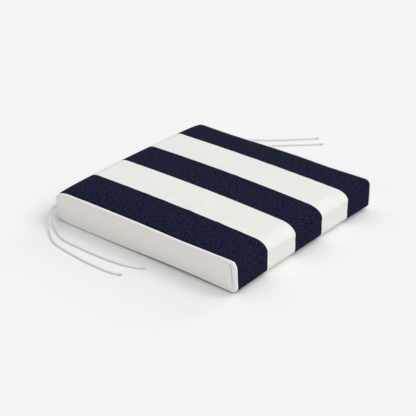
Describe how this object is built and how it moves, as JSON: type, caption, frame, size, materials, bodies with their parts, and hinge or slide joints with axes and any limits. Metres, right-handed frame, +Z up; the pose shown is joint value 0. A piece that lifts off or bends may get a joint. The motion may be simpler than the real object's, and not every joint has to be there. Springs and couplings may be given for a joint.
{
  "type": "box-edge chair cushion with ties",
  "caption": "Square box-edge seat cushion with a broad-striped wrap panel, plain piped side gussets and thin ties at its back corners.",
  "frame": {"origin": "middle of the flat underside, on the surface the cushion lies on", "axes": "+X across the stripes, -Y to the soft front edge, +Z up out of the top panel"},
  "size_m": [0.8019, 0.5082, 0.0795],
  "materials": {
    "striped_canvas": "woven canvas in broad navy and off-white stripes",
    "plain_canvas": "plain off-white woven canvas",
    "piping_cloth": "off-white canvas wrapped on a cord",
    "tie_cord": "thin round braided cord, off-white"
  },
  "bodies": {
    "root": {"cushion_body": "striped_canvas", "gusset_left": "plain_canvas", "gusset_right": "plain_canvas", "piping_left": "piping_cloth", "piping_right": "piping_cloth", "tie_left_outer": "tie_cord", "tie_left_inner": "tie_cord", "tie_right_outer": "tie_cord", "tie_right_inner": "tie_cord"}
  },
  "joints": []
}
